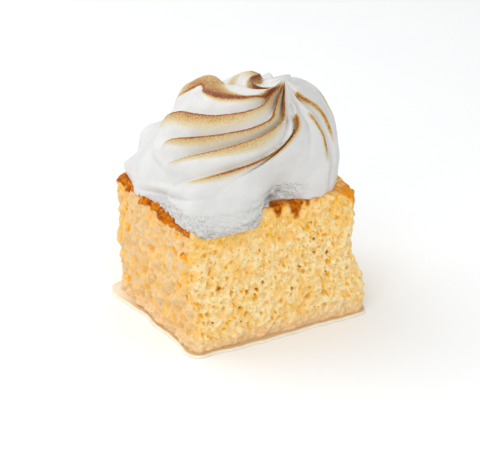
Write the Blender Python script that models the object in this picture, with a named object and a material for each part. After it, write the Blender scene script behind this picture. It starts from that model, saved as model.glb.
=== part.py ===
"""A square-cut piece of tres leches cake with a piped, torched meringue swirl.

Units are metres, +Z is up, and the milk that the cake stands in lies on z = 0.
The long cut face looks along -Y and the narrow cut face along -X.
"""
import math

import bmesh
import bpy
from mathutils import Vector, noise

MM = 0.001

# The cut block of sponge, in millimetres
HALF_X = 32.4
HALF_Y = 26.0
HEIGHT = 43.0
CORNER = 3.2            # radius of the upright corners
EDGE = 2.2              # how far in the rounded top edge starts
BLOCK_COLUMNS = 104
BLOCK_ROWS = 17         # rows up the cut faces
CENTRE = (-0.15, -0.4)  # moves the whole piece so that its box is centred on the origin

# The meringue, in millimetres and degrees, seen in its own plan, which is turned by SWIRL_TURN
SWIRL_TURN = -29.0
SWIRL_MID = (-1.0, 0.0)
SWIRL_TIP = (15.5, -4.0)
SWIRL_RADIUS = 35.0
SWIRL_RISE = 34.3
TIP_RISE = 5.5
SWIRL_ROWS = 30
FOOT = 0.93             # the share of a ridge's run at which it meets the cake's top
SEAT_GAP = 0.3          # clearance between the pieces

# One row a ridge of the swirl, in the order they stand around the tip: the direction it leaves
# the tip in, how far it turns on its way down, the radius shares between which it turns, its
# height, where the valley before it lies and the power of the rise from there, the radius shares
# between which it stands out, and the columns of mesh up to the next ridge.
RIDGES = (
    (250, 150, 0.10, 0.34, 3.0, 0.50, 0.90, 0.00, 1.00, 13),
    (262, 106, 0.29, 0.62, 4.2, 0.35, 0.35, 0.00, 0.78, 7),
    (270, 79, 0.40, 0.78, 3.0, 0.86, 0.90, 0.00, 0.78, 8),
    (285, 71, 0.55, 0.85, 3.0, 0.86, 0.90, 0.00, 0.82, 7),
    (297, 76, 0.58, 0.95, 2.6, 0.86, 0.90, 0.00, 0.88, 7),
    (305, 77, 0.74, 1.00, 2.2, 0.88, 0.90, 0.60, 0.96, 8),
    (313, 56, 0.68, 1.02, 2.2, 0.86, 0.90, 0.42, 0.86, 6),
    (319, -17, 0.34, 0.90, 2.0, 0.80, 0.90, 0.25, 0.97, 5),
    (326, -18, 0.26, 0.75, 2.2, 0.80, 0.90, 0.00, 0.97, 8),
    (395, 20, 0.12, 0.90, 2.6, 0.80, 0.90, 0.00, 1.00, 8),
    (435, 40, 0.05, 0.50, 2.6, 0.80, 0.90, 0.00, 1.00, 7),
    (485, 70, 0.06, 0.42, 2.6, 0.80, 0.90, 0.00, 1.00, 7),
    (540, 103, 0.06, 0.40, 2.6, 0.70, 0.90, 0.45, 1.00, 7),
)

# The shallow pool of milk that the block stands in, in millimetres
MILK_DEPTH = 1.1
STAND = 0.8             # height of the block's foot over the floor
MILK_COLUMNS = 84


def smooth(value):
    """Goes from 0 to 1 without a corner."""
    value = min(max(value, 0.0), 1.0)
    return value * value * (3.0 - 2.0 * value)


def near(angle, middle, width):
    """1 at the middle direction, falling to 0 on both sides of it."""
    off = (angle - middle + 180.0) % 360.0 - 180.0
    return math.exp(-((off / width) ** 2))


def hill(value, middle, width):
    return math.exp(-(((value - middle) / width) ** 2))


def tooth(angle, crest, before, after):
    """1 at the crest's direction, falling straight to 0 over the two given widths."""
    off = (angle - crest + 180.0) % 360.0 - 180.0
    return max(0.0, 1.0 - abs(off) / (before if off < 0.0 else after))


def grain(point, size, seed):
    """Smooth noise between about -1 and 1, with lumps of the given size."""
    return noise.noise(Vector(point) / size + Vector((seed, 1.7 * seed, -seed)))


def material(name, colour, roughness, subsurface=0.0):
    mat = bpy.data.materials.new(name)
    mat.use_nodes = True
    shader = mat.node_tree.nodes["Principled BSDF"]
    shader.inputs["Base Color"].default_value = (*colour, 1.0)
    shader.inputs["Roughness"].default_value = roughness
    shader.inputs["Subsurface Weight"].default_value = subsurface
    return mat


def finish(bm, name, mat):
    """Turns a mesh that was worked on in millimetres into a named object in metres."""
    bmesh.ops.translate(bm, verts=bm.verts[:], vec=(CENTRE[0], CENTRE[1], 0.0))
    bmesh.ops.scale(bm, verts=bm.verts[:], vec=(MM, MM, MM))
    bmesh.ops.recalc_face_normals(bm, faces=bm.faces[:])
    mesh = bpy.data.meshes.new(name)
    bm.to_mesh(mesh)
    bm.free()
    obj = bpy.data.objects.new(name, mesh)
    bpy.context.scene.collection.objects.link(obj)
    mesh.materials.append(mat)
    mesh.shade_smooth()
    return obj


def drum(columns, rows):
    """A closed drum of radius 1 whose rows stand one unit apart."""
    bm = bmesh.new()
    bmesh.ops.create_circle(bm, cap_ends=True, segments=columns, radius=1.0)
    rim = bm.edges[:]
    for row in range(rows):
        grown = bmesh.ops.extrude_edge_only(bm, edges=rim)["geom"]
        verts = [part for part in grown if isinstance(part, bmesh.types.BMVert)]
        bmesh.ops.translate(bm, verts=verts, vec=(0.0, 0.0, 1.0))
        rim = [part for part in grown if isinstance(part, bmesh.types.BMEdge)
               and all(vert.co.z > row + 0.5 for vert in part.verts)]
    bmesh.ops.contextual_create(bm, geom=rim)
    # fans of triangles on both ends, since their outlines have straight runs
    ends = [face for face in bm.faces if len(face.verts) > 4]
    bmesh.ops.poke(bm, faces=ends)
    return bm


def cut_outline(share):
    """A point of the block's rounded outline and its outward direction, by share of the way round."""
    straight_x = 2.0 * (HALF_X - CORNER)
    straight_y = 2.0 * (HALF_Y - CORNER)
    arc = math.pi / 2.0 * CORNER
    run = (share % 1.0) * 2.0 * (straight_x + straight_y + 2.0 * arc)
    turn = 0.0
    corner_x, corner_y = HALF_X - CORNER, HALF_Y - CORNER
    # right side going away, back side, left side, front side
    sides = ((straight_y, (1, 0), (corner_x, -corner_y)), (straight_x, (0, 1), (corner_x, corner_y)),
             (straight_y, (-1, 0), (-corner_x, corner_y)), (straight_x, (0, -1), (-corner_x, -corner_y)))
    for length, normal, start in sides:
        along = (-normal[1], normal[0])
        if run <= length:
            return (start[0] + CORNER * normal[0] + run * along[0],
                    start[1] + CORNER * normal[1] + run * along[1], normal[0], normal[1])
        run -= length
        if run <= arc:
            angle = math.radians(turn) + run / CORNER
            middle = (start[0] + length * along[0], start[1] + length * along[1])
            return (middle[0] + CORNER * math.cos(angle), middle[1] + CORNER * math.sin(angle),
                    math.cos(angle), math.sin(angle))
        run -= arc
        turn += 90.0
    return HALF_X, -corner_y, 1.0, 0.0


def slump(x, y, z):
    """Spreads the foot of the block, most of all on the right, where a heel sticks out under a waist."""
    low = 1.0 - smooth(z / 28.0)
    heel = 1.0 - smooth((z - 15.0) / 8.0)
    right = x / HALF_X * 0.5 + 0.5
    front = 0.5 - y / HALF_Y * 0.5
    x += right * (2.2 * heel + 0.6 * hill(z, 8.0, 6.0) - 1.6 * hill(z, 25.0, 9.0) - 0.6)
    x += (1.0 - right) * 1.0 * low
    y += -front * 2.7 * low + (1.0 - front) * 1.4 * low
    return x, y


def crown(x, y):
    """How far the baked top stands over its height at the near left corner."""
    across = smooth((x + HALF_X) / 38.0)
    corner = math.hypot(x - HALF_X, y + HALF_Y)
    return 2.6 * across + 1.3 * (1.0 - across) * smooth((y + HALF_Y) / 45.0) - 2.0 * hill(corner, 0.0, 9.0)


def block_point(share, row):
    """Where a vertex of the drum lies on the sponge."""
    x, y, nx, ny = cut_outline(share)
    wall = BLOCK_ROWS
    top = HEIGHT - 0.55 * EDGE
    if row <= wall:
        z = STAND + (top - STAND) * (row / wall)
        inset = 0.0
    else:
        z = (HEIGHT - 0.16 * EDGE, HEIGHT)[row - wall - 1]
        inset = (0.38 * EDGE, EDGE)[row - wall - 1]
    x -= nx * inset
    y -= ny * inset
    x, y = slump(x, y, z)
    # open crumb: soft lumps with smaller pits between them, lower at the foot and on the crust
    open_crumb = 0.35 + 0.65 * smooth(z / 3.0) * smooth((HEIGHT - z) / 1.0)
    lump = 0.75 * grain((x, y, z), 7.0, 3.0) + 0.75 * grain((x, y, z), 3.1, 9.0)
    pit = 0.5 * max(0.0, grain((x, y, z), 2.4, 21.0) - 0.1)
    push = open_crumb * (lump - pit)
    z += crown(x, y) * smooth(z / HEIGHT)
    return Vector((x + nx * push, y + ny * push, z))


def build_sponge(mat):
    bm = drum(BLOCK_COLUMNS, BLOCK_ROWS + 2)
    for vert in bm.verts:
        row = round(vert.co.z)
        if math.hypot(vert.co.x, vert.co.y) < 0.5:
            vert.co = Vector((0.0, 0.0, HEIGHT + crown(0.0, 0.0) if row else STAND))
            continue
        share = math.atan2(vert.co.y, vert.co.x) / (2.0 * math.pi)
        vert.co = block_point(share, row)
    return finish(bm, "sponge", mat)


def swirl_profile(run):
    """Radius share and height over the cake's top, by share of the run from the tip to the foot."""
    down = run / FOOT
    radius = math.sin(math.pi / 2.0 * min(down, 1.0) ** 0.95)
    rise = SWIRL_RISE * max(0.0, 1.0 - radius ** 2.8) ** 0.55
    rise += TIP_RISE * math.exp(-((radius * 6.5) ** 1.3))
    over = max(0.0, down - 1.0)
    return radius - 0.7 * over, rise - 34.0 * over


def ridge_angle(number, radius):
    turn, index = divmod(number, len(RIDGES))
    start, sweep, begin, end = RIDGES[index][:4]
    return start + 360.0 * turn - sweep * smooth((radius - begin) / (end - begin))


def ridge_height(number, run):
    """A ridge dies away at the tip, at the foot and where its coil ends."""
    height, _, _, begin, end = RIDGES[number % len(RIDGES)][4:9]
    radius = swirl_profile(run)[0]
    height *= smooth(run / 0.16) * smooth((0.97 - run) / 0.16)
    if begin > 0.0:
        height *= smooth((radius - begin + 0.08) / 0.16)
    if end < 1.0:
        height *= smooth((end + 0.08 - radius) / 0.12)
    return height


def swirl_radius(angle, run, radius):
    """The swirl's radius at the foot by direction: a slack near corner and a bite beside it."""
    low = smooth((run - 0.55) / 0.35)
    size = SWIRL_RADIUS - 4.5 * near(angle, 312, 26) - low
    size += low * (4.8 * near(angle, 251, 13) - 4.5 * near(angle, 216, 20) - 7.5 * near(angle, 303, 20))
    size -= 6.0 * low * near(angle, 116, 30)
    lean = smooth(radius / 0.3) * smooth((1.0 - radius) / 0.35)
    return size * (1.0 - 0.30 * near(angle, 168, 38) * lean)


def swirl_point(number, part, run):
    """A point of the swirl: ridge number, part of the way to the next ridge, share of the run."""
    radius = swirl_profile(run)[0]
    this = ridge_angle(number, radius)
    following = ridge_angle(number + 1, radius)
    angle = this + (following - this) * part
    valley, rise = RIDGES[(number + 1) % len(RIDGES)][5:7]
    room = 0.9 * math.radians(abs(following - this)) * radius * 34.0
    high = min(ridge_height(number, run), room + 0.3 * ridge_height(number, run))
    after = min(ridge_height(number + 1, run), room + 0.3 * ridge_height(number + 1, run))
    if part < valley:
        push = high * (1.0 - (part / valley) ** 1.9)
    else:
        push = after * ((part - valley) / (1.0 - valley)) ** rise
    # an extra ridge on the widest coil, which is at the back
    push += 2.4 * tooth(angle, 124, 9, 22) * smooth((radius - 0.7) / 0.15) * smooth((0.97 - run) / 0.16)
    # a groove behind the uppermost coil end
    if number == 0:
        push -= 2.8 * hill(part, valley, 0.16) * smooth(radius / 0.25) * smooth((0.75 - radius) / 0.3)
    # a lobe and a flap on the left, and blunt coil ends that stand over the lowest coil
    push += 3.4 * near(angle, 157, 10) * hill(run, 0.70, 0.07)
    push += 4.6 * near(angle, 166, 9) * hill(run, 0.87, 0.06)
    coil_end = 0.60 + 0.10 * smooth((angle - 185.0) / 35.0)
    push += 1.8 * near(angle, 198, 24) * smooth((coil_end - run) / 0.05) * smooth(run / 0.3)
    return swirl_place(angle, run, push)


def swirl_place(angle, run, push):
    radius, rise = swirl_profile(run)
    reach = radius * swirl_radius(angle, run, radius)
    before = swirl_profile(max(run - 0.01, 0.0))
    after = swirl_profile(min(run + 0.01, 1.0))
    out, drop = (after[0] - before[0]) * 35.0, after[1] - before[1]
    length = math.hypot(out, drop) + 1e-9
    reach += push * -drop / length
    rise += push * min(max(out / length, 0.15), 1.0)
    middle_x = SWIRL_MID[0] + (SWIRL_TIP[0] - SWIRL_MID[0]) * (1.0 - radius)
    middle_y = SWIRL_MID[1] + (SWIRL_TIP[1] - SWIRL_MID[1]) * (1.0 - radius)
    x = middle_x + reach * math.cos(math.radians(angle))
    y = middle_y + reach * math.sin(math.radians(angle))
    # the near corner sags over the edge of the cake
    rise -= 1.0 * near(angle, 248, 14) * smooth((run - 0.8) / 0.13)
    # the uppermost coil end stays high and breaks off bluntly
    rise += 3.2 * near(angle, 144, 22) * smooth((radius - 0.35) / 0.35) * smooth((0.82 - radius) / 0.08)
    turn = math.radians(SWIRL_TURN)
    return Vector((x * math.cos(turn) - y * math.sin(turn),
                   x * math.sin(turn) + y * math.cos(turn), HEIGHT + rise))


def swirl_columns():
    """Ridge number and part of the way to the next ridge for every column of the mesh."""
    columns = []
    for number, ridge in enumerate(RIDGES):
        valley = RIDGES[(number + 1) % len(RIDGES)][5]
        count = ridge[9]
        rising = max(1, round((1.0 - valley) * count * 0.75))
        falling = count - rising
        columns += [(number, valley * step / falling) for step in range(falling)]
        columns += [(number, valley + (1.0 - valley) * step / rising) for step in range(rising)]
    return columns


def build_meringue(mat, sponge):
    columns = swirl_columns()
    below = 3
    rows = SWIRL_ROWS + below + 1
    bm = bmesh.new()
    bmesh.ops.create_uvsphere(bm, u_segments=len(columns), v_segments=rows, radius=1.0)
    for vert in bm.verts:
        row = round(math.acos(max(-1.0, min(1.0, vert.co.z))) / math.pi * rows)
        around = math.atan2(vert.co.y, vert.co.x) / (2.0 * math.pi)
        number, part = columns[round(around * len(columns)) % len(columns)]
        if row <= SWIRL_ROWS:
            vert.co = swirl_point(number, part, row / SWIRL_ROWS)
        else:
            # the hidden underside closes towards the middle
            rim = swirl_point(number, part, 1.0)
            vert.co = rim.lerp(Vector((0.0, 0.0, HEIGHT - 3.0)), (row - SWIRL_ROWS) / (below + 1))
    meringue = finish(bm, "meringue", mat)
    cut_seat(meringue, sponge, "meringue seat")
    return meringue


def cut_seat(obj, sponge, name):
    """Cuts the sponge, grown by the clearance, out of a piece that lies against it."""
    cutter = bpy.data.objects.new(name, sponge.data.copy())
    bpy.context.scene.collection.objects.link(cutter)
    cutter.hide_render = True
    cutter.display_type = "WIRE"
    grow = cutter.modifiers.new("clearance", "DISPLACE")
    grow.direction = "NORMAL"
    grow.mid_level = 0.0
    grow.strength = SEAT_GAP * MM
    seat = obj.modifiers.new(name, "BOOLEAN")
    seat.operation = "DIFFERENCE"
    seat.solver = "EXACT"
    seat.object = cutter


def build_milk(mat, sponge):
    """A thin pool with a seat for the block's foot, widest at the far left corner."""
    bm = drum(MILK_COLUMNS, 3)
    for vert in bm.verts:
        row = round(vert.co.z)
        if math.hypot(vert.co.x, vert.co.y) < 0.5:
            vert.co = Vector((0.0, 0.0, MILK_DEPTH if row else 0.0))
            continue
        share = math.atan2(vert.co.y, vert.co.x) / (2.0 * math.pi)
        x, y, nx, ny = cut_outline(share)
        x, y = slump(x, y, 0.0)
        angle = math.degrees(math.atan2(y, x))
        spread = 1.35 + 2.6 * near(angle, 140, 16) + 0.6 * near(angle, 250, 40)
        spread += 0.45 * grain((x, y, 0.0), 6.0, 5.0)
        spread += (0.0, 0.12, -0.75, -1.0)[row]
        z = (0.0, 0.45 * MILK_DEPTH, MILK_DEPTH, MILK_DEPTH)[row]
        if row == 3:
            spread -= 3.5
        vert.co = Vector((x + nx * spread, y + ny * spread, z))
    milk = finish(bm, "milk", mat)
    cut_seat(milk, sponge, "milk seat")
    return milk


for old in list(bpy.data.objects):
    bpy.data.objects.remove(old)

sponge_material = material("soaked sponge", (0.86, 0.62, 0.27), 0.75, 0.1)
meringue_material = material("torched meringue", (0.88, 0.85, 0.80), 0.55, 0.1)
milk_material = material("sweet milk", (0.86, 0.76, 0.62), 0.15)

cake = build_sponge(sponge_material)
build_meringue(meringue_material, cake)
build_milk(milk_material, cake)
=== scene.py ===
# %% [markdown]
# # A piece of tres leches cake under a torched meringue swirl
#
# The real thing is three materials that all drink light: a milk-soaked sponge full of small
# holes, a piped meringue whose ridges a torch has browned, and a thin pool of sweet milk.
# The solids of these three pieces are loaded first. Each is then made again with a fine skin,
# worked out by the same rules as the solid, so that the fine piece lies where the solid does.

# %% Load the solids
import math
import random

import bmesh
import bpy
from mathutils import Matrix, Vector, noise
from mathutils.kdtree import KDTree


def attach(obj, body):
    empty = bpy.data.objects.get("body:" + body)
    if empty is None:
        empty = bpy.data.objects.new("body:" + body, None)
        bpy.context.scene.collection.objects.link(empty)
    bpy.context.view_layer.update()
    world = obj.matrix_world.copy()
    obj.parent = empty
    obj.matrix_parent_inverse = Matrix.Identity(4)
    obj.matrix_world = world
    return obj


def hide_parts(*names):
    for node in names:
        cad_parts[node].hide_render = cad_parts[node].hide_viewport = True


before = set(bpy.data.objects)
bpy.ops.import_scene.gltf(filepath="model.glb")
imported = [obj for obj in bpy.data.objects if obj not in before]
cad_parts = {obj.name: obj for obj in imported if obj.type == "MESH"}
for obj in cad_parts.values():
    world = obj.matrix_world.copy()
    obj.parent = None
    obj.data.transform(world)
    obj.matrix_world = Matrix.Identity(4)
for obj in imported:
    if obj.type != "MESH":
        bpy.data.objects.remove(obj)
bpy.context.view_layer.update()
MM = 0.001
print("pieces:", sorted(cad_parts))

# %% [markdown]
# ## Camera
#
# The photograph looks down on the piece by 27 degrees, over its near corner, so that the long
# cut face shows on the right and the narrow one on the left. The lens is long, as in most food
# pictures: the upright edges stay nearly parallel. The camera is placed by these two angles and
# a distance, and is turned to look at a point just above the middle of the block.

# %% Place the camera
BLOCK_MIDDLE = Vector((-0.15, -0.4, 0.0)) * MM
CAMERA_TURN = -29.0
CAMERA_HEIGHT_ANGLE = 27.4
CAMERA_AWAY = 600.0 * MM
LOOK_SIDE = 1.2 * MM
LOOK_UP = 26.0 * MM
FOCAL_LENGTH = 131.2


def direction(turn, height_angle):
    """From the middle towards a place around the piece; turn 0 is in front of the long face."""
    turn, height_angle = math.radians(turn), math.radians(height_angle)
    return Vector((math.sin(turn) * math.cos(height_angle),
                   -math.cos(turn) * math.cos(height_angle), math.sin(height_angle)))


def look(obj, place, target):
    obj.location = place
    obj.rotation_mode = "QUATERNION"
    obj.rotation_quaternion = (target - place).to_track_quat("-Z", "Y")
    bpy.context.scene.collection.objects.link(obj)


camera_data = bpy.data.cameras.new("camera")
camera_data.lens = FOCAL_LENGTH
camera = bpy.data.objects.new("camera", camera_data)
plan_turn = math.radians(CAMERA_TURN)
camera_side = Vector((math.cos(plan_turn), math.sin(plan_turn), 0.0))
look(camera, BLOCK_MIDDLE + direction(CAMERA_TURN, CAMERA_HEIGHT_ANGLE) * CAMERA_AWAY,
     BLOCK_MIDDLE + camera_side * LOOK_SIDE + Vector((0.0, 0.0, LOOK_UP)))
bpy.context.scene.camera = camera
print("camera at", [round(value, 3) for value in camera.location])

# %% [markdown]
# ## Light
#
# The picture is high-key: a white table, a wide soft light from above and the left, and only a
# faint warm shadow on the right. A white world gives the soft part, and large area lights
# give the forms a lighter and a darker side. The plain view transform keeps whites white.

# %% Lights and view
bpy.context.scene.view_settings.view_transform = "Standard"

WORLD_STRENGTH = 0.67
LAMPS = (
    # name, turn, height angle, distance, size, power in watts, colour
    ("window", -36.0, 47.0, 0.9, 0.8, 3.1, (1.0, 1.0, 0.99)),
    ("back_window", -142.0, 50.0, 0.9, 0.8, 3.2, (1.0, 1.0, 1.0)),
)

world = bpy.data.worlds.new("studio")
world.use_nodes = True
world.node_tree.nodes["Background"].inputs["Color"].default_value = (0.985, 0.995, 1.0, 1.0)
world.node_tree.nodes["Background"].inputs["Strength"].default_value = WORLD_STRENGTH
bpy.context.scene.world = world

for name, turn, height_angle, away, size, power, colour in LAMPS:
    lamp_data = bpy.data.lights.new(name, "AREA")
    lamp_data.size = size
    lamp_data.energy = power
    lamp_data.color = colour
    look(bpy.data.objects.new(name, lamp_data), direction(turn, height_angle) * away,
         Vector((0.0, 0.0, 0.04)))
print("lamps:", len(LAMPS))

# %% [markdown]
# ## Materials by nodes
#
# Every finish below is a small network of nodes around one Principled shader. A few helpers
# keep them readable: colours are written as the sRGB values that an eye would name, textures
# read Object coordinates, and a mask blends one colour over another.

# %% Helpers for materials


def paint(code):
    """A linear colour from a six-digit sRGB code."""
    values = [int(code[place:place + 2], 16) / 255.0 for place in (0, 2, 4)]
    linear = [value / 12.92 if value <= 0.04045 else ((value + 0.055) / 1.055) ** 2.4
              for value in values]
    return (*linear, 1.0)


class Finish:
    """A material with short calls for the nodes that these finishes share."""

    def __init__(self, name):
        self.material = bpy.data.materials.new(name)
        self.material.use_nodes = True
        self.nodes = self.material.node_tree.nodes
        self.links = self.material.node_tree.links
        self.shader = self.nodes["Principled BSDF"]
        self.place = self.nodes.new("ShaderNodeTexCoord").outputs["Object"]

    def link(self, source, target):
        if hasattr(source, "links"):
            self.links.new(source, target)
        else:
            target.default_value = source

    def attribute(self, name):
        node = self.nodes.new("ShaderNodeAttribute")
        node.attribute_name = name
        return node.outputs["Fac"]

    def grain(self, size, detail=2.0, rough=0.5, warp=0.0):
        """Noise with spots of about the given size in millimetres."""
        node = self.nodes.new("ShaderNodeTexNoise")
        node.inputs["Scale"].default_value = 1.0 / (size * MM)
        node.inputs["Detail"].default_value = detail
        node.inputs["Roughness"].default_value = rough
        node.inputs["Distortion"].default_value = warp
        self.links.new(self.place, node.inputs["Vector"])
        return node.outputs["Fac"]

    def cells(self, size, randomness=1.0, feature="F1"):
        """Distance to the nearest of many scattered points, about the given size apart."""
        node = self.nodes.new("ShaderNodeTexVoronoi")
        node.feature = feature
        node.inputs["Scale"].default_value = 1.0 / (size * MM)
        node.inputs["Randomness"].default_value = randomness
        self.links.new(self.place, node.inputs["Vector"])
        return node.outputs["Distance"]

    def between(self, value, low, high, start=0.0, end=1.0):
        node = self.nodes.new("ShaderNodeMapRange")
        node.interpolation_type = "SMOOTHSTEP"
        self.link(value, node.inputs["Value"])
        node.inputs["From Min"].default_value = low
        node.inputs["From Max"].default_value = high
        node.inputs["To Min"].default_value = start
        node.inputs["To Max"].default_value = end
        return node.outputs["Result"]

    def math(self, kind, first, second=0.0):
        node = self.nodes.new("ShaderNodeMath")
        node.operation = kind
        self.link(first, node.inputs[0])
        self.link(second, node.inputs[1])
        return node.outputs["Value"]

    def over(self, mask, below, above):
        """Lays one colour over another where the mask is 1."""
        node = self.nodes.new("ShaderNodeMix")
        node.data_type = "RGBA"
        self.link(mask, node.inputs["Factor"])
        self.link(below, node.inputs[6])
        self.link(above, node.inputs[7])
        return node.outputs[2]

    def bump(self, height, depth, before=None):
        """Bump with its depth in millimetres."""
        node = self.nodes.new("ShaderNodeBump")
        node.inputs["Strength"].default_value = 1.0
        node.inputs["Distance"].default_value = depth * MM
        self.links.new(height, node.inputs["Height"])
        if before is not None:
            self.links.new(before, node.inputs["Normal"])
        return node.outputs["Normal"]

    def soft_light(self, weight, radius, scale):
        """Light that enters the surface and leaves it nearby."""
        self.shader.inputs["Subsurface Weight"].default_value = weight
        self.shader.inputs["Subsurface Radius"].default_value = radius
        self.shader.inputs["Subsurface Scale"].default_value = scale * MM


print("finish helper ready")

# %% [markdown]
# ## Shaping by rules
#
# A sponge or a swirl has no straight edge to model, so each fine piece starts as a simple drum
# or ball from a bmesh operator, and every vertex is then moved to its place by a rule. Smooth
# steps, soft hills and noise are the whole vocabulary of these rules.

# %% Helpers for shapes


def smooth(value):
    """Goes from 0 to 1 without a corner."""
    value = min(max(value, 0.0), 1.0)
    return value * value * (3.0 - 2.0 * value)


def near(angle, middle, width):
    """1 at the middle direction, falling to 0 on both sides of it."""
    off = (angle - middle + 180.0) % 360.0 - 180.0
    return math.exp(-((off / width) ** 2))


def hill(value, middle, width):
    return math.exp(-(((value - middle) / width) ** 2))


def tooth(angle, crest, before, after):
    """1 at the crest's direction, falling straight to 0 over the two given widths."""
    off = (angle - crest + 180.0) % 360.0 - 180.0
    return max(0.0, 1.0 - abs(off) / (before if off < 0.0 else after))


def grain(point, size, seed):
    """Smooth noise between about -1 and 1, with lumps of the given size."""
    return noise.noise(Vector(point) / size + Vector((seed, 1.7 * seed, -seed)))


def finish_piece(bm, name, finish, replaced=None):
    """Turns a mesh worked on in millimetres into a piece that rides on the part."""
    bmesh.ops.translate(bm, verts=bm.verts[:], vec=BLOCK_MIDDLE / MM)
    bmesh.ops.scale(bm, verts=bm.verts[:], vec=(MM, MM, MM))
    bmesh.ops.recalc_face_normals(bm, faces=bm.faces[:])
    mesh = bpy.data.meshes.new(name)
    bm.to_mesh(mesh)
    bm.free()
    mesh.shade_smooth()
    mesh.materials.append(finish.material)
    piece = bpy.data.objects.new(name, mesh)
    bpy.context.scene.collection.objects.link(piece)
    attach(piece, "root")
    if replaced:
        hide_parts(replaced)
    triangles = sum(len(face.vertices) - 2 for face in mesh.polygons)
    print(name, "has", triangles, "triangles")
    return piece


def drum(columns, rows):
    """A closed drum of radius 1 whose rows stand one unit apart."""
    bm = bmesh.new()
    bmesh.ops.create_circle(bm, cap_ends=True, segments=columns, radius=1.0)
    rim = bm.edges[:]
    for row in range(rows):
        grown = bmesh.ops.extrude_edge_only(bm, edges=rim)["geom"]
        verts = [part for part in grown if isinstance(part, bmesh.types.BMVert)]
        bmesh.ops.translate(bm, verts=verts, vec=(0.0, 0.0, 1.0))
        rim = [part for part in grown if isinstance(part, bmesh.types.BMEdge)
               and all(vert.co.z > row + 0.5 for vert in part.verts)]
    bmesh.ops.contextual_create(bm, geom=rim)
    ends = [face for face in bm.faces if len(face.verts) > 4]
    bmesh.ops.poke(bm, faces=ends)
    return bm


# %% [markdown]
# ## The cut block: outline and slump
#
# A knife cut this block from a sheet cake, so in plan it is a rectangle with small round
# corners. Soaked sponge is soft: the foot spreads under its own weight, and on the right a
# heel sticks out. These are the same rules as in the solid.

# %% The block's outline
HALF_X = 32.4
HALF_Y = 26.0
HEIGHT = 43.0
CORNER = 3.2
EDGE = 2.2
STAND = 0.8


def cut_outline(share):
    """A point of the rounded outline and its outward direction, by share of the way round."""
    straight_x = 2.0 * (HALF_X - CORNER)
    straight_y = 2.0 * (HALF_Y - CORNER)
    arc = math.pi / 2.0 * CORNER
    run = (share % 1.0) * 2.0 * (straight_x + straight_y + 2.0 * arc)
    turn = 0.0
    corner_x, corner_y = HALF_X - CORNER, HALF_Y - CORNER
    sides = (
        # length of the straight, its outward direction, and the middle of the arc before it
        (straight_y, (1, 0), (corner_x, -corner_y)),
        (straight_x, (0, 1), (corner_x, corner_y)),
        (straight_y, (-1, 0), (-corner_x, corner_y)),
        (straight_x, (0, -1), (-corner_x, -corner_y)),
    )
    for length, normal, start in sides:
        along = (-normal[1], normal[0])
        if run <= length:
            return (start[0] + CORNER * normal[0] + run * along[0],
                    start[1] + CORNER * normal[1] + run * along[1], normal[0], normal[1])
        run -= length
        if run <= arc:
            angle = math.radians(turn) + run / CORNER
            middle = (start[0] + length * along[0], start[1] + length * along[1])
            return (middle[0] + CORNER * math.cos(angle), middle[1] + CORNER * math.sin(angle),
                    math.cos(angle), math.sin(angle))
        run -= arc
        turn += 90.0
    return HALF_X, -corner_y, 1.0, 0.0


def slump(x, y, z):
    """Spreads the foot of the block, most of all where the heel sticks out under a waist."""
    low = 1.0 - smooth(z / 28.0)
    heel = 1.0 - smooth((z - 15.0) / 8.0)
    right = x / HALF_X * 0.5 + 0.5
    front = 0.5 - y / HALF_Y * 0.5
    x += right * (2.2 * heel + 0.6 * hill(z, 8.0, 6.0) - 1.6 * hill(z, 25.0, 9.0) - 0.6)
    x += (1.0 - right) * 1.0 * low
    y += -front * 2.7 * low + (1.0 - front) * 1.4 * low
    return x, y


def crown(x, y):
    """How far the baked top stands over its height at the near left corner."""
    across = smooth((x + HALF_X) / 38.0)
    back = smooth((y + HALF_Y) / 45.0)
    sunk_corner = hill(math.hypot(x - HALF_X, y + HALF_Y), 0.0, 9.0)
    return 2.6 * across + 1.3 * (1.0 - across) * back - 2.0 * sunk_corner


print("block", 2 * HALF_X, "x", 2 * HALF_Y, "x", HEIGHT, "mm")
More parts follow.
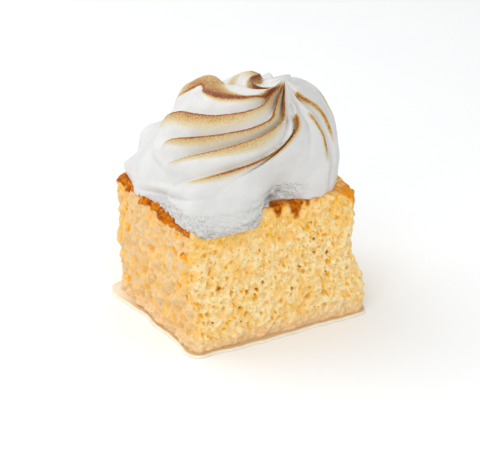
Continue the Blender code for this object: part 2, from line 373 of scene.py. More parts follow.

# %% [markdown]
# ## The holes of the crumb
#
# Baking powder leaves round bubbles, and the knife opens them. Most are under a millimetre, a few
# reach two, and on the narrow face some have run together into slanting slits. They are drawn first
# as a seeded list of hollow balls, each perhaps stretched, so that the skin can be pressed in
# wherever it passes through one. The few that catch the eye are listed one by one.

# %% Scatter the holes
HOLE_COUNT = 1900
HOLE_SEED = 7
HOLE_REACH = 4.2
LARGE_HOLE_BAND = (7.0, 21.0)
LARGE_HOLE_CHANCE = 0.05
SLIT_CHANCE = 0.10
UP = Vector((0.0, 0.0, 1.0))
SLANT = Vector((0.0, -0.45, -0.9)).normalized()
BUBBLE_LEAN = Vector((0.3, 0.0, 1.0)).normalized()
CREVICES = (
    # on the narrow face: place along y, height, radius and stretch
    (-19.0, 34.0, 1.1, 3.2), (-2.0, 17.0, 0.9, 3.0), (-21.0, 12.5, 1.1, 3.4),
    (16.0, 27.0, 0.9, 1.8), (8.0, 33.0, 0.8, 2.0), (-12.0, 25.0, 0.7, 2.2),
)
BUBBLES = (
    # on the wide face: place along x, height, radius, stretch, and 1 where painted shade browns its
    # upper part
    (-20.8, 20.7, 0.9, 1.0, 1), (-16.8, 18.5, 0.9, 1.0, 0), (-11.2, 17.2, 0.7, 1.2, 1),
    (-7.6, 17.0, 0.6, 1.0, 1), (-4.8, 18.6, 0.6, 1.0, 1), (10.4, 10.6, 1.1, 1.1, 0),
    (16.0, 10.8, 0.8, 1.3, 0), (21.6, 23.0, 0.8, 1.2, 1), (16.0, 28.7, 0.6, 1.0, 1),
    (-12.8, 10.2, 0.7, 1.4, 0), (-7.6, 9.0, 0.6, 1.0, 0), (-0.8, 24.6, 0.5, 1.2, 0),
    (10.0, 20.5, 0.6, 1.0, 1), (26.8, 17.3, 0.6, 1.6, 0), (-23.6, 28.0, 0.6, 2.6, 0),
    (-26.0, 34.0, 0.7, 1.4, 0), (2.5, 31.5, 0.6, 1.2, 0), (24.5, 34.5, 0.7, 1.5, 0),
)


def skin_point(share, z):
    x, y, nx, ny = cut_outline(share)
    x, y = slump(x, y, z)
    return Vector((x, y, z)), Vector((nx, ny, 0.0))


def draw_hole(rng):
    """One hole by chance: middle, radius, depth, stretch, its long direction, and the chance of
    painted brown shade in it.
    """
    share = rng.random()
    z = STAND + 2.0 + (HEIGHT - STAND - 3.5) * rng.random()
    middle, out = skin_point(share, z)
    radius = 0.26 + 0.42 * rng.random() ** 4
    low, high = LARGE_HOLE_BAND
    if out.y < -0.5 and low < z < high and rng.random() < LARGE_HOLE_CHANCE:
        radius = 0.6 + 0.35 * rng.random()
    stretch, along = 1.0 + 0.5 * rng.random(), UP
    if out.x < -0.5:
        radius *= 0.6
        if rng.random() < SLIT_CHANCE:
            radius = 0.45 + 0.35 * rng.random()
            stretch, along = 2.4 + 1.4 * rng.random(), SLANT
    depth = radius * (0.5 + 0.6 * rng.random())
    return middle, radius, depth, stretch, along, rng.random()


def scatter_holes():
    rng = random.Random(HOLE_SEED)
    holes = [draw_hole(rng) for _ in range(HOLE_COUNT)]
    for y, z, radius, stretch in CREVICES:
        middle = Vector((*slump(-HALF_X, y, z), z))
        holes.append((middle, radius, 1.5 * radius, stretch, SLANT, 0.0))
    for x, z, radius, stretch, brown in BUBBLES:
        middle = Vector((*slump(x, -HALF_Y, z), z))
        holes.append((middle, radius, 1.2 * radius, stretch, BUBBLE_LEAN, brown))
    return holes


holes = scatter_holes()
hole_tree = KDTree(len(holes))
for number, hole in enumerate(holes):
    hole_tree.insert(hole[0], number)
hole_tree.balance()
print("holes:", len(holes), "largest radius", round(max(hole[1] for hole in holes), 2), "mm")

# %% [markdown]
# ## Crumbs, holes and crust
#
# Three rules make the skin. The first adds the solid's soft lumps and finer crumbs, deeper on
# the narrow face, where the knife tore more. The second presses the holes in. The third says
# where the baked crust reaches: an uneven band below the top edge, with a few longer drips.

# %% Rules for the sponge's skin
CRUST_DRIPS = (
    # place along x, width and length
    (7.8, 3.4, 5.8), (1.2, 2.8, 4.0), (12.0, 2.2, 2.2), (32.0, 6.0, 5.5),
)
SHADE_FROM = 0.90


def crumb_push(point, calm, left):
    """How far lumps and crumbs stand out, and how low a place lies between the crumbs."""
    lump = 0.75 * grain(point, 7.0, 3.0) + 0.75 * grain(point, 3.1, 9.0)
    pit = 0.5 * max(0.0, grain(point, 2.4, 21.0) - 0.1)
    fine = 0.75 * grain(point, 1.7, 31.0) + 0.38 * grain(point, 0.8, 37.0)
    torn = left * (1.7 * grain(point, 3.8, 33.0) + 0.9 * grain(point, 2.2, 35.0))
    # Low places between crumbs get deeper gold in the finish as painted shade.
    low = smooth(0.5 - 1.6 * fine - 0.3 * torn)
    return calm * (lump - pit + torn) + (0.25 + 0.75 * calm) * fine, low


def hole_push(point):
    """How far the nearest holes press the skin in, and how golden and how dark their painted shade
    makes them.
    """
    press, gold, dark = 0.0, 0.0, 0.0
    for _, number, _ in hole_tree.find_range(point, HOLE_REACH):
        middle, radius, depth, stretch, along, brown = holes[number]
        offset = point - middle
        lengthwise = offset.dot(along)
        reach = math.sqrt(max(0.0, offset.length_squared
                              - lengthwise * lengthwise * (1.0 - 1.0 / stretch ** 2)))
        reach *= 1.0 + 0.5 * grain(point, 0.9, 43.0)
        if reach < 1.35 * radius:
            inside = reach / radius
            press = max(press, depth * max(0.0, 1.0 - inside ** 2) ** 0.6)
            # Painted shade: gold in and around each hole, strongest at its middle.
            gold = max(gold, smooth((1.25 - inside) / 1.0))
            # Painted shade: brown in the upper part of some larger holes, where light does not
            # reach.
            if brown > SHADE_FROM and radius > 0.4:
                shade = (offset - 0.3 * radius * UP).length / radius
                dark = max(dark, smooth((1.0 - shade) / 0.4))
    return press, gold, dark


def crust_share(point, out):
    """1 on baked crust: the top, and an uneven band down from the top edge."""
    band = 0.9 + 2.2 * max(-0.4, grain(point, 4.5, 51.0)) + 0.9 * grain(point, 1.6, 53.0)
    if out.y < -0.5:
        band -= 1.3
        ragged = 1.2 * grain(point, 1.6, 53.0)
        for place, width, length in CRUST_DRIPS:
            band = max(band, length * hill(point.x, place, 0.65 * width) + ragged)
    if out.x < -0.5:
        band += 0.6 + 2.0 * max(0.0, grain(point, 6.0, 57.0) + 0.15)
    fade = 0.9 + 1.3 * smooth(-out.y)
    return smooth((point.z - (HEIGHT - band)) / fade + 0.5)


print("crust drips:", len(CRUST_DRIPS))

# %% [markdown]
# ## The sponge's skin
#
# The drum has about a third of a millimetre between its vertices, fine enough for real hollows.
# Each vertex is first put on the wall, the rounded edge or the top, and crumbs and holes then move
# it. Seven attributes are stored on the way, because the colours follow the form: how golden and
# how dark the painted shade of the holes makes a place, how baked and how wet it is, how low it
# lies between the crumbs, where painted shade deepens the gold, and how far it belongs to the
# narrow face or to the golden end.

# %% Shape the sponge
SPONGE_COLUMNS = 636
WALL_ROWS = 112
EDGE_ROWS = 5
CRUST_ROWS = 24
EDGE_SQUASH = 0.55
TOP_REACH = 0.44
SPONGE_LAYERS = ("gold", "dark", "crust", "wet", "low", "narrow_face", "golden_end")


def smooth_skin(row, share):
    """Where a row of the drum lies before its relief, its outward direction and share of lift."""
    x, y, nx, ny = cut_outline(share)
    top = HEIGHT - EDGE_SQUASH * EDGE
    lift, inset, shrink = 0.0, 0.0, 1.0
    if row <= WALL_ROWS:
        z = STAND + (top - STAND) * row / WALL_ROWS
    elif row <= WALL_ROWS + EDGE_ROWS:
        lift = (row - WALL_ROWS) / EDGE_ROWS
        inset = EDGE * (1.0 - math.cos(lift * math.pi / 2.0))
        z = top + EDGE_SQUASH * EDGE * math.sin(lift * math.pi / 2.0)
    else:
        lift, inset, z = 1.0, EDGE, HEIGHT
        shrink = 1.0 - TOP_REACH * (row - WALL_ROWS - EDGE_ROWS) / CRUST_ROWS
    x, y = slump((x - nx * inset) * shrink, (y - ny * inset) * shrink, z)
    return x, y, z, nx, ny, lift


def sponge_vertex(row, share):
    """Place and attributes of one vertex of the skin."""
    x, y, z, nx, ny, lift = smooth_skin(row, share)
    skin, side = Vector((x, y, z)), Vector((nx, ny, 0.0))
    calm = 0.35 + 0.65 * smooth(z / 3.0) * smooth((HEIGHT - z) / 1.0)
    wet = 1.0 - smooth((z - 2.2 - 2.2 * grain(skin, 6.0, 61.0)) / 4.5)
    open_crumb = 1.0 - 0.85 * wet
    if lift < 1.0:
        push, low = crumb_push(skin, calm, smooth(-nx))
    else:
        push, low = 0.28 * grain(skin, 2.2, 67.0) + 0.2 * grain(skin, 0.9, 71.0), 0.5
    press, gold, dark = hole_push(skin) if lift == 0.0 else (0.0, 0.0, 0.0)
    gold = max(gold, 0.26 * smooth((z - 18.0) / 22.0) * smooth(1.0 + nx))
    place = skin + side * push * (1.0 - lift) + UP * push * lift - side * press * open_crumb
    if row == 0:
        place.z = STAND
    else:
        place.z += crown(x, y) * smooth(z / HEIGHT)
    return place, {"gold": gold * open_crumb, "dark": dark * open_crumb,
                   "crust": crust_share(skin, side), "wet": wet, "low": low,
                   "narrow_face": smooth(-nx), "golden_end": smooth((x - 14.0) / 12.0)}


def build_sponge(finish):
    bm = drum(SPONGE_COLUMNS, WALL_ROWS + EDGE_ROWS + CRUST_ROWS)
    layers = {name: bm.verts.layers.float.new(name) for name in SPONGE_LAYERS}
    for vert in bm.verts:
        row = round(vert.co.z)
        if math.hypot(vert.co.x, vert.co.y) < 0.5:
            vert.co = Vector((0.0, 0.0, HEIGHT + crown(0.0, 0.0) if row else STAND))
            continue
        share = math.atan2(vert.co.y, vert.co.x) / (2.0 * math.pi)
        vert.co, values = sponge_vertex(row, share)
        for name, value in values.items():
            vert[layers[name]] = value
    return finish_piece(bm, "sponge_crumb", finish, "sponge")


# %% [markdown]
# ## The sponge's finish
#
# The crumb is a pale egg yellow, with a baked brown crust and a smooth tan foot that milk has
# filled. Deeper gold in the holes and in the low places between crumbs is painted shade, and so is
# the brown in the upper part of some larger holes and part of the darker tone of the narrow face.
# Light goes a little way into all of it. The finest holes are too small for the mesh, so they are
# painted golden as shade and dented by cells.

# %% Sponge finish


def crumb_colour(finish, wet, pins):
    """Egg yellow with golden patches and a tan foot; painted shade deepens the gold in holes, fine
    pores and low places, browns the upper part of some larger holes, and darkens the narrow face,
    whose own tone is a little duller too.
    """
    gold = finish.attribute("gold")
    dull = finish.math("MULTIPLY", finish.attribute("narrow_face"), 0.75)
    low = finish.between(finish.attribute("low"), 0.4, 1.0, 0.0, 0.55)
    patches = finish.between(finish.grain(5.0, 3.0, 0.55), 0.42, 0.66)
    crumbs = finish.between(finish.grain(0.8, 3.0, 0.6), 0.3, 0.72)
    pin_room = finish.between(finish.grain(3.2, 2.0), 0.44, 0.60)
    pin_share = finish.math("MULTIPLY", finish.math("MULTIPLY", pins, pin_room), 0.75)
    colour = finish.over(crumbs, paint("FBD898"), paint("FFEBC0"))
    # Darker narrow face: partly its own duller tone, partly painted shade.
    colour = finish.over(dull, colour, paint("DFBF92"))
    # Painted shade: deeper gold in the low places between crumbs.
    colour = finish.over(low, colour, paint("F7C35C"))
    colour = finish.over(finish.math("MULTIPLY", patches, 0.65), colour, paint("FBC45A"))
    # Painted shade: fine pores too small for the mesh, painted golden.
    colour = finish.over(pin_share, colour, paint("F8B83A"))
    # Painted shade: deeper gold in and around the holes.
    colour = finish.over(finish.between(gold, 0.08, 0.55, 0.0, 0.9), colour, paint("FCBA1E"))
    colour = finish.over(finish.between(gold, 0.6, 1.0, 0.0, 0.75), colour, paint("E89E04"))
    # Painted shade: brown in the upper part of some larger holes.
    dark = finish.math("MULTIPLY", finish.attribute("dark"), 0.9)
    colour = finish.over(dark, colour, paint("A05808"))
    foot = finish.over(crumbs, paint("EEC490"), paint("F7D6A8"))
    return finish.over(finish.math("MULTIPLY", wet, 0.85), colour, foot)


def crust_colour(finish):
    """Baked brown with lighter spots, and more golden towards one end."""
    light = finish.between(finish.grain(2.2, 4.0, 0.65), 0.38, 0.62)
    spots = finish.between(finish.grain(1.3, 3.0, 0.6), 0.64, 0.78)
    golden = finish.math("MULTIPLY", finish.attribute("golden_end"), 0.8)
    baked = finish.over(light, paint("9C4600"), paint("D67C00"))
    baked = finish.over(spots, baked, paint("E8A424"))
    return finish.over(golden, baked, paint("F49C14"))


def sponge_finish():
    finish = Finish("soaked_sponge")
    inputs = finish.shader.inputs
    wet, crust = finish.attribute("wet"), finish.attribute("crust")
    # Fine pores: painted golden as shade in the crumb colour, and dented by the bump.
    pins = finish.between(finish.cells(0.95), 0.14, 0.32, 1.0, 0.0)
    colour = finish.over(crust, crumb_colour(finish, wet, pins), crust_colour(finish))
    finish.link(colour, inputs["Base Color"])
    dull = finish.between(wet, 0.1, 0.9, 0.46, 0.14)
    dull = finish.math("SUBTRACT", dull, finish.math("MULTIPLY", crust, 0.1))
    finish.link(dull, inputs["Roughness"])
    relief = finish.bump(finish.grain(0.9, 4.0, 0.65), 0.30)
    finish.link(finish.bump(pins, -0.15, relief), inputs["Normal"])
    finish.soft_light(0.6, (1.0, 0.75, 0.45), 1.2)
    finish.link(finish.between(crust, 0.0, 1.0, 0.6, 0.1), inputs["Subsurface Weight"])
    finish.link(finish.between(crust, 0.0, 1.0, 0.4, 0.06), inputs["Specular IOR Level"])
    return finish


build_sponge(sponge_finish())

# %% [markdown]
# ## The swirl's rules
#
# A star nozzle leaves ridges that start together at the tip and wind down around the dome.
# Seen from above, each ridge is a curve that leaves the tip in one direction and turns on its
# way out. Between two ridges the meringue falls away slowly and then rises steeply to the
# next ridge, like the teeth of a saw. These rules and numbers are the solid's own.

# %% The swirl's profile and ridges
SWIRL_TURN = -29.0
SWIRL_MID = (-1.0, 0.0)
SWIRL_TIP = (15.5, -4.0)
SWIRL_RADIUS = 35.0
SWIRL_RISE = 34.3
TIP_RISE = 5.5
FOOT = 0.93
TUCK_IN = 0.7
TUCK_DOWN = 34.0
RUN_STEP = 0.01
TINY = 1e-9
RIDGES = (
    # start, sweep, sweep from, sweep to, height, valley, rise, stands out from, stands out to
    (250, 150, 0.10, 0.34, 3.0, 0.50, 0.90, 0.00, 1.00),
    (262, 106, 0.29, 0.62, 4.2, 0.35, 0.35, 0.00, 0.78),
    (270, 79, 0.40, 0.78, 3.0, 0.86, 0.90, 0.00, 0.78),
    (285, 71, 0.55, 0.85, 3.0, 0.86, 0.90, 0.00, 0.82),
    (297, 76, 0.58, 0.95, 2.6, 0.86, 0.90, 0.00, 0.88),
    (305, 77, 0.74, 1.00, 2.2, 0.88, 0.90, 0.60, 0.96),
    (313, 56, 0.68, 1.02, 2.2, 0.86, 0.90, 0.42, 0.86),
    (319, -17, 0.34, 0.90, 2.0, 0.80, 0.90, 0.25, 0.97),
    (326, -18, 0.26, 0.75, 2.2, 0.80, 0.90, 0.00, 0.97),
    (395, 20, 0.12, 0.90, 2.6, 0.80, 0.90, 0.00, 1.00),
    (435, 40, 0.05, 0.50, 2.6, 0.80, 0.90, 0.00, 1.00),
    (485, 70, 0.06, 0.42, 2.6, 0.80, 0.90, 0.00, 1.00),
    (540, 103, 0.06, 0.40, 2.6, 0.70, 0.90, 0.45, 1.00),
)


def swirl_profile(run):
    """Radius share and height over the cake's top, by share of the run from the tip to the foot."""
    down = run / FOOT
    radius = math.sin(math.pi / 2.0 * min(down, 1.0) ** 0.95)
    rise = SWIRL_RISE * max(0.0, 1.0 - radius ** 2.8) ** 0.55
    rise += TIP_RISE * math.exp(-((radius * 6.5) ** 1.3))
    over = max(0.0, down - 1.0)
    return radius - TUCK_IN * over, rise - TUCK_DOWN * over


def profile_around(run):
    """The profile a small step before and a small step after a place."""
    return swirl_profile(max(run - RUN_STEP, 0.0)), swirl_profile(min(run + RUN_STEP, 1.0))


def ridge_angle(number, radius):
    turn, index = divmod(number, len(RIDGES))
    start, sweep, begin, end = RIDGES[index][:4]
    return start + 360.0 * turn - sweep * smooth((radius - begin) / (end - begin))


def ridge_height(number, run):
    """A ridge dies away at the tip, at the foot and where its coil ends."""
    height, _, _, begin, end = RIDGES[number % len(RIDGES)][4:]
    radius = swirl_profile(run)[0]
    height *= smooth(run / 0.16) * smooth((0.97 - run) / 0.16)
    if begin > 0.0:
        height *= smooth((radius - begin + 0.08) / 0.16)
    if end < 1.0:
        height *= smooth((end + 0.08 - radius) / 0.12)
    return height


def swirl_radius(angle, run, radius):
    """The swirl's radius at the foot by direction: a slack near corner and a bite beside it."""
    low = smooth((run - 0.55) / 0.35)
    size = SWIRL_RADIUS - 4.5 * near(angle, 312, 26) - low
    size += low * (4.8 * near(angle, 251, 13) - 4.5 * near(angle, 216, 20)
                   - 7.5 * near(angle, 303, 20))
    size -= 6.0 * low * near(angle, 116, 30)
    lean = smooth(radius / 0.3) * smooth((1.0 - radius) / 0.35)
    return size * (1.0 - 0.30 * near(angle, 168, 38) * lean)


def swirl_place(angle, run, push):
    """A point of the swirl by direction and run, pushed out from the smooth profile."""
    radius, rise = swirl_profile(run)
    reach = radius * swirl_radius(angle, run, radius)
    before, after = profile_around(run)
    out, drop = (after[0] - before[0]) * SWIRL_RADIUS, after[1] - before[1]
    length = math.hypot(out, drop) + TINY
    reach += push * -drop / length
    rise += push * min(max(out / length, 0.15), 1.0)
    middle_x = SWIRL_MID[0] + (SWIRL_TIP[0] - SWIRL_MID[0]) * (1.0 - radius)
    middle_y = SWIRL_MID[1] + (SWIRL_TIP[1] - SWIRL_MID[1]) * (1.0 - radius)
    x = middle_x + reach * math.cos(math.radians(angle))
    y = middle_y + reach * math.sin(math.radians(angle))
    rise -= 1.0 * near(angle, 248, 14) * smooth((run - 0.8) / 0.13)
    hump = smooth((radius - 0.35) / 0.35) * smooth((0.82 - radius) / 0.08)
    rise += 3.2 * near(angle, 144, 22) * hump
    turn = math.radians(SWIRL_TURN)
    return Vector((x * math.cos(turn) - y * math.sin(turn),
                   x * math.sin(turn) + y * math.cos(turn), HEIGHT + rise))


print("ridges:", len(RIDGES))

# %% [markdown]
# ## The torched skin
#
# The flame browns what stands out: a dark line runs along every ridge, sharp on its upper
# side and fading over a few millimetres on the side that falls away. On the back hump the line
# lies below the crest, and the facet over it is brown. The toast is worked out from the same
# numbers as the form and is measured straight across the ridge.

# %% The torch's toast
FULL_RIDGE = 5
TOAST = (
    # how brown at the start and end, from and to which share of the run,
    # fade below and above the line in mm, how far the line lies below the crest in mm
    (1.00, 0.85, 0.05, 0.34, 3.0, 0.6, 0.0), (1.10, 1.10, 0.03, 0.54, 0.7, 8.0, 1.9),
    (1.00, 0.90, 0.02, 0.58, 4.2, 0.4, 0.0), (1.00, 0.95, 0.02, 0.60, 3.4, 0.4, 0.0),
    (1.05, 0.55, 0.02, 0.67, 3.3, 0.6, 0.0), (0.90, 0.90, 0.46, 0.72, 1.9, 0.4, 0.0),
    (0.90, 0.50, 0.34, 0.62, 1.4, 0.4, 0.0), (0.50, 0.70, 0.36, 0.72, 1.0, 0.3, 0.0),
    (0.60, 0.70, 0.15, 0.64, 1.0, 0.3, 0.0), (0.60, 0.60, 0.36, 0.62, 1.2, 0.3, 0.0),
    (0.60, 0.60, 0.36, 0.60, 1.2, 0.3, 0.0), (0.60, 0.60, 0.36, 0.58, 1.2, 0.3, 0.0),
    (0.70, 0.60, 0.30, 0.56, 1.4, 0.3, 0.0),
)


def across(number, run, along):
    """Turns a distance around the dome into the shorter one straight across a slanting ridge."""
    before, after = profile_around(run)
    slope = math.hypot((after[0] - before[0]) * SWIRL_RADIUS, after[1] - before[1]) + TINY
    turn = math.radians(ridge_angle(number, before[0]) - ridge_angle(number, after[0]))
    return along * slope / math.hypot(slope, turn * swirl_profile(run)[0] * SWIRL_RADIUS)


def toast_of(number, part, run, gap):
    """Browning by the ridge above and by the ridge below; only one line stays wide to its end."""
    total = 0.0
    uneven = 0.50 + 0.25 * grain((9.0 * run, 0.6 * number, 0.5 * part), 1.0, 95.0)
    for ridge, along in ((number, part * gap), (number + 1, (part - 1.0) * gap)):
        strong, faint, begin, end, below, above, lower = TOAST[ridge % len(TOAST)]
        away = across(ridge, run, along) - lower * smooth((run - 0.20) / 0.14)
        room = max(0.25, 0.45 * across(ridge, run, gap))
        above = 0.4 + (above - 0.4) * smooth((run - 0.18) / 0.12)
        fade = above if away < 0.0 else min(below, room)
        if ridge % len(TOAST) != FULL_RIDGE:
            fade *= 1.0 - 0.6 * smooth((run - 0.50) / 0.10)
        shown = smooth((run - begin) / 0.05) * smooth((end - run) / 0.12)
        shown *= strong + (faint - strong) * smooth((run - begin) / (end - begin))
        line = 0.50 * hill(away, 0.0, min(0.45, fade)) + uneven * hill(away, 0.0, fade)
        total = max(total, shown * line)
    return total


print("toasted ridges:", len(TOAST))

# %% [markdown]
# ## One vertex of the swirl
#
# A vertex lies between two ridges, and how far it stands out follows from both. A few marks of
# this one swirl come on top, such as the two petals low on the left. To the solid's rules the
# fine skin adds a slight hollow behind the tip, the crease where one coil lies on the next, and
# the foam, pits and cracks near the foot, where the meringue has torn.

# %% Rules for the swirl's skin
MEAN_RADIUS = 34.0


def ridge_push(number, part, run):
    """Direction of a vertex, the gap between its two ridges, and how far it stands out."""
    radius = swirl_profile(run)[0]
    this = ridge_angle(number, radius)
    following = ridge_angle(number + 1, radius)
    angle = this + (following - this) * part
    valley, rise = RIDGES[(number + 1) % len(RIDGES)][5:7]
    gap = math.radians(abs(following - this)) * radius * MEAN_RADIUS
    room = 0.9 * gap
    high = min(ridge_height(number, run), room + 0.3 * ridge_height(number, run))
    after = min(ridge_height(number + 1, run), room + 0.3 * ridge_height(number + 1, run))
    if part < valley:
        push = high * (1.0 - (part / valley) ** 1.9)
    else:
        push = after * ((part - valley) / (1.0 - valley)) ** rise
    petal = smooth((radius - 0.7) / 0.15) * smooth((0.97 - run) / 0.16)
    push += 2.4 * tooth(angle, 124, 9, 22) * petal
    push -= 1.6 * near(angle, 85, 45) * hill(run, 0.13, 0.07)
    if number == 0:
        saddle = smooth(radius / 0.25) * smooth((0.75 - radius) / 0.3)
        push -= 2.8 * hill(part, valley, 0.16) * saddle
    push += 3.4 * near(angle, 157, 10) * hill(run, 0.70, 0.07)
    push += 4.6 * near(angle, 166, 9) * hill(run, 0.87, 0.06)
    crease = 0.82 - 0.0023 * (angle - 220.0)
    push += near(angle, 226, 24) * (0.7 * hill(run, crease - 0.03, 0.02)
                                    - 1.0 * hill(run, crease + 0.008, 0.01))
    coil_end = 0.60 + 0.10 * smooth((angle - 185.0) / 35.0)
    push += 1.8 * near(angle, 198, 24) * smooth((coil_end - run) / 0.05) * smooth(run / 0.3)
    return angle, gap, push


def roughness(place, angle, run):
    """How far the skin's roughness stands out at a place, how foamy it is, and how much painted
    shade greys its cracks.
    """
    foam = smooth((run - 0.74) / 0.06) * near(angle, 303, 22)
    foam += 0.65 * smooth((run - 0.80) / 0.05) * near(angle, 240, 32)
    foam = min(1.0, foam + 0.35 * smooth((run - 0.88) / 0.05))
    crack = smooth(1.0 - abs(grain(place, 1.9, 85.0)) * 5.0)
    crack = max(crack, 0.7 * smooth(1.0 - abs(grain(place, 1.0, 87.0)) * 4.0))
    rough = 0.06 * grain(place, 1.3, 81.0) + 0.05 * grain(place, 0.6, 83.0)
    froth = 1.5 * grain(place, 2.2, 91.0) + 0.9 * grain(place, 1.1, 93.0)
    rough += foam * (foam * froth - 0.4 * crack)
    # Painted shade: cracks and low froth are greyed in the finish.
    crack = max(0.5 * crack, foam * smooth(-1.6 * froth))
    rough += smooth(run / 0.2) * 0.35 * grain(place, 6.0, 89.0)
    rough -= 2.6 * near(angle, 299.5, 2.2) * hill(run, 0.845, 0.012)
    return rough, foam, foam * crack


def swirl_vertex(number, part, run):
    """Place and attributes of one vertex of the swirl."""
    angle, gap, push = ridge_push(number, part, run)
    rough, foam, crack = roughness(swirl_place(angle, run, push), angle, run)
    return swirl_place(angle, run, push + rough), {
        "toast": toast_of(number, part, run, gap), "foam": foam, "crack": crack}


print("tip of the swirl:", [round(value, 1) for value in swirl_vertex(0, 0.0, 0.0)[0]], "mm")

# %% [markdown]
# ## The swirl's fine mesh
#
# The swirl starts as a ball with one pole at the tip and the other under the foot. Its columns
# are shared out evenly between the ridges, so that a line of vertices runs along every crest
# and keeps it sharp. The last rows close the ball below.

# %% Shape the meringue
SWIRL_COLUMNS = 34
SWIRL_ROWS = 200
ROWS_BELOW = 6
POLE_BELOW = Vector((0.0, 0.0, HEIGHT - 3.0))


def build_meringue(finish):
    columns = [(number, step / SWIRL_COLUMNS) for number in range(len(RIDGES))
               for step in range(SWIRL_COLUMNS)]
    rows = SWIRL_ROWS + ROWS_BELOW
    bm = bmesh.new()
    bmesh.ops.create_uvsphere(bm, u_segments=len(columns), v_segments=rows, radius=1.0)
    layers = {name: bm.verts.layers.float.new(name) for name in ("toast", "foam", "crack")}
    for vert in bm.verts:
        row = round(math.acos(max(-1.0, min(1.0, vert.co.z))) / math.pi * rows)
        around = math.atan2(vert.co.y, vert.co.x) / (2.0 * math.pi)
        number, part = columns[round(around * len(columns)) % len(columns)]
        place, values = swirl_vertex(number, part, min(row / SWIRL_ROWS, 1.0))
        if row > SWIRL_ROWS:
            place = place.lerp(POLE_BELOW, (row - SWIRL_ROWS) / ROWS_BELOW)
        vert.co = place
        for name, value in values.items():
            vert[layers[name]] = value
    return finish_piece(bm, "meringue_swirl", finish, "meringue")


# %% [markdown]
# ## The meringue's finish
#
# Whipped egg white and sugar is nearly white, with a satin shine and light that goes in and
# comes out again. The toast attribute runs through cream and gold to dark brown; noise breaks
# it up, because a flame browns unevenly.

# %% Meringue finish
TOAST_COLOURS = (
    # from and to which heat a colour comes in, and the colour
    (0.01, 0.10, "D6CEB8"), (0.07, 0.22, "CFBB90"), (0.20, 0.38, "C29E58"),
    (0.36, 0.58, "A86426"), (0.56, 0.90, "783202"),
)


def meringue_finish():
    finish = Finish("torched_meringue")
    toast = finish.attribute("toast")
    mottle = finish.between(finish.grain(0.5, 4.0, 0.75), 0.30, 0.70, 0.50, 1.35)
    heat = finish.math("MULTIPLY", toast, mottle)
    bubbles = finish.between(finish.cells(0.8), 0.1, 0.5)
    foam = finish.attribute("foam")
    froth = finish.between(foam, 0.05, 0.7)
    open_froth = finish.between(foam, 0.68, 0.95)
    colour = finish.over(finish.between(finish.grain(8.0, 2.0), 0.35, 0.65),
                         paint("D6D5D3"), paint("DDDCDA"))
    # Painted shade: grey in the cracks of the foam.
    colour = finish.over(finish.math("MULTIPLY", finish.attribute("crack"), 0.55),
                         colour, paint("ABA69C"))
    # Painted shade: grey in the open bubbles of the froth.
    hollow = finish.math("MULTIPLY", open_froth, finish.between(bubbles, 0.0, 0.35, 0.5, 0.0))
    colour = finish.over(hollow, colour, paint("A8A49C"))
    for low, high, code in TOAST_COLOURS:
        colour = finish.over(finish.between(heat, low, high), colour, paint(code))
    finish.link(colour, finish.shader.inputs["Base Color"])
    finish.link(finish.between(finish.grain(0.5, 3.0), 0.3, 0.7, 0.38, 0.55),
                finish.shader.inputs["Roughness"])
    relief = finish.bump(finish.grain(0.35, 3.0, 0.6), 0.08)
    relief = finish.bump(finish.math("MULTIPLY", bubbles, froth), 0.3, relief)
    finish.link(relief, finish.shader.inputs["Normal"])
    finish.soft_light(0.25, (1.0, 0.93, 0.85), 1.0)
    return finish


build_meringue(meringue_finish())

# %% [markdown]
# ## The pool of milk
#
# Sweet milk has run out of the sponge and stands around its foot as a film about a millimetre deep,
# with a round edge where the surface holds it together. It is nearly white on a white table, so
# what shows is mostly its gloss, and its colour turns tan towards the foot, less so at the wide far
# left. The pool reaches a little way under the crumb, so that no gap shows.

# %% Shape the milk
MILK_DEPTH = 1.1
MILK_COLUMNS = 420
MILK_EDGE_ROWS = 8
MILK_TOP_ROWS = 6
MILK_TOP_REACH = 4.5


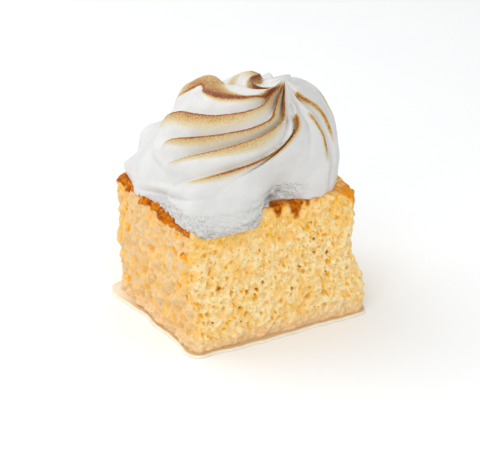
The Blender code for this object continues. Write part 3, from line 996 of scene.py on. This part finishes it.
def build_milk(finish):
    bm = drum(MILK_COLUMNS, MILK_EDGE_ROWS + MILK_TOP_ROWS)
    deep_layer = bm.verts.layers.float.new("deep")
    for vert in bm.verts:
        row = round(vert.co.z)
        if math.hypot(vert.co.x, vert.co.y) < 0.5:
            vert.co = Vector((0.0, 0.0, 0.5 * MILK_DEPTH if row else 0.0))
            continue
        share = math.atan2(vert.co.y, vert.co.x) / (2.0 * math.pi)
        x, y, nx, ny = cut_outline(share)
        x, y = slump(x, y, 0.0)
        angle = math.degrees(math.atan2(y, x))
        far_left = near(angle, 140, 16)
        spread = 1.35 + 2.6 * far_left + 0.6 * near(angle, 250, 40)
        spread += 0.45 * grain((x, y, 0.0), 6.0, 5.0)
        spread += 0.8 * grain((x, y, 0.0), 9.0, 6.0) + 0.3 * grain((x, y, 0.0), 2.6, 7.0)
        round_edge = min(row / MILK_EDGE_ROWS, 1.0) * math.pi / 2.0
        spread += 0.12 - 0.9 * (1.0 - math.cos(round_edge))
        z = 0.9 * MILK_DEPTH * math.sin(round_edge)
        if row > MILK_EDGE_ROWS:
            inward = (row - MILK_EDGE_ROWS) / MILK_TOP_ROWS
            spread -= MILK_TOP_REACH * inward
            dip = 1.0 - 0.6 * smooth(inward * 2.0 - 1.0)
            z += 0.35 * MILK_DEPTH * smooth(inward * 1.6) * dip
        vert.co = Vector((x + nx * spread, y + ny * spread, z))
        # Tan towards the foot, less at the far left.
        vert[deep_layer] = smooth((row / MILK_EDGE_ROWS - 0.4) / 0.6) * (1.0 - 0.8 * far_left)
    return finish_piece(bm, "milk_pool", finish, "milk")


def milk_finish():
    finish = Finish("sweet_milk")
    cloud = finish.between(finish.grain(6.0, 2.0), 0.3, 0.7)
    colour = finish.over(cloud, paint("F4E7D0"), paint("FAF0DE"))
    colour = finish.over(finish.attribute("deep"), colour, paint("D6AE7E"))
    finish.link(colour, finish.shader.inputs["Base Color"])
    finish.shader.inputs["Roughness"].default_value = 0.07
    finish.link(finish.bump(finish.grain(4.0, 1.0), 0.08), finish.shader.inputs["Normal"])
    finish.soft_light(0.5, (1.0, 0.8, 0.55), 1.5)
    return finish


build_milk(milk_finish())

# %% [markdown]
# ## The table
#
# The picture's ground is pure white. The floor is a plain pale sheet that only catches the
# soft shadow.

# %% Floor
FLOOR_HALF = 3.0


def build_floor():
    finish = Finish("white_table")
    finish.link(finish.over(finish.grain(40.0, 2.0), paint("F7F8F9"), paint("FAFBFB")),
                finish.shader.inputs["Base Color"])
    finish.shader.inputs["Roughness"].default_value = 0.9
    bm = bmesh.new()
    bmesh.ops.create_grid(bm, x_segments=8, y_segments=8, size=FLOOR_HALF)
    mesh = bpy.data.meshes.new("table")
    bm.to_mesh(mesh)
    bm.free()
    mesh.materials.append(finish.material)
    table = bpy.data.objects.new("table", mesh)
    bpy.context.scene.collection.objects.link(table)


build_floor()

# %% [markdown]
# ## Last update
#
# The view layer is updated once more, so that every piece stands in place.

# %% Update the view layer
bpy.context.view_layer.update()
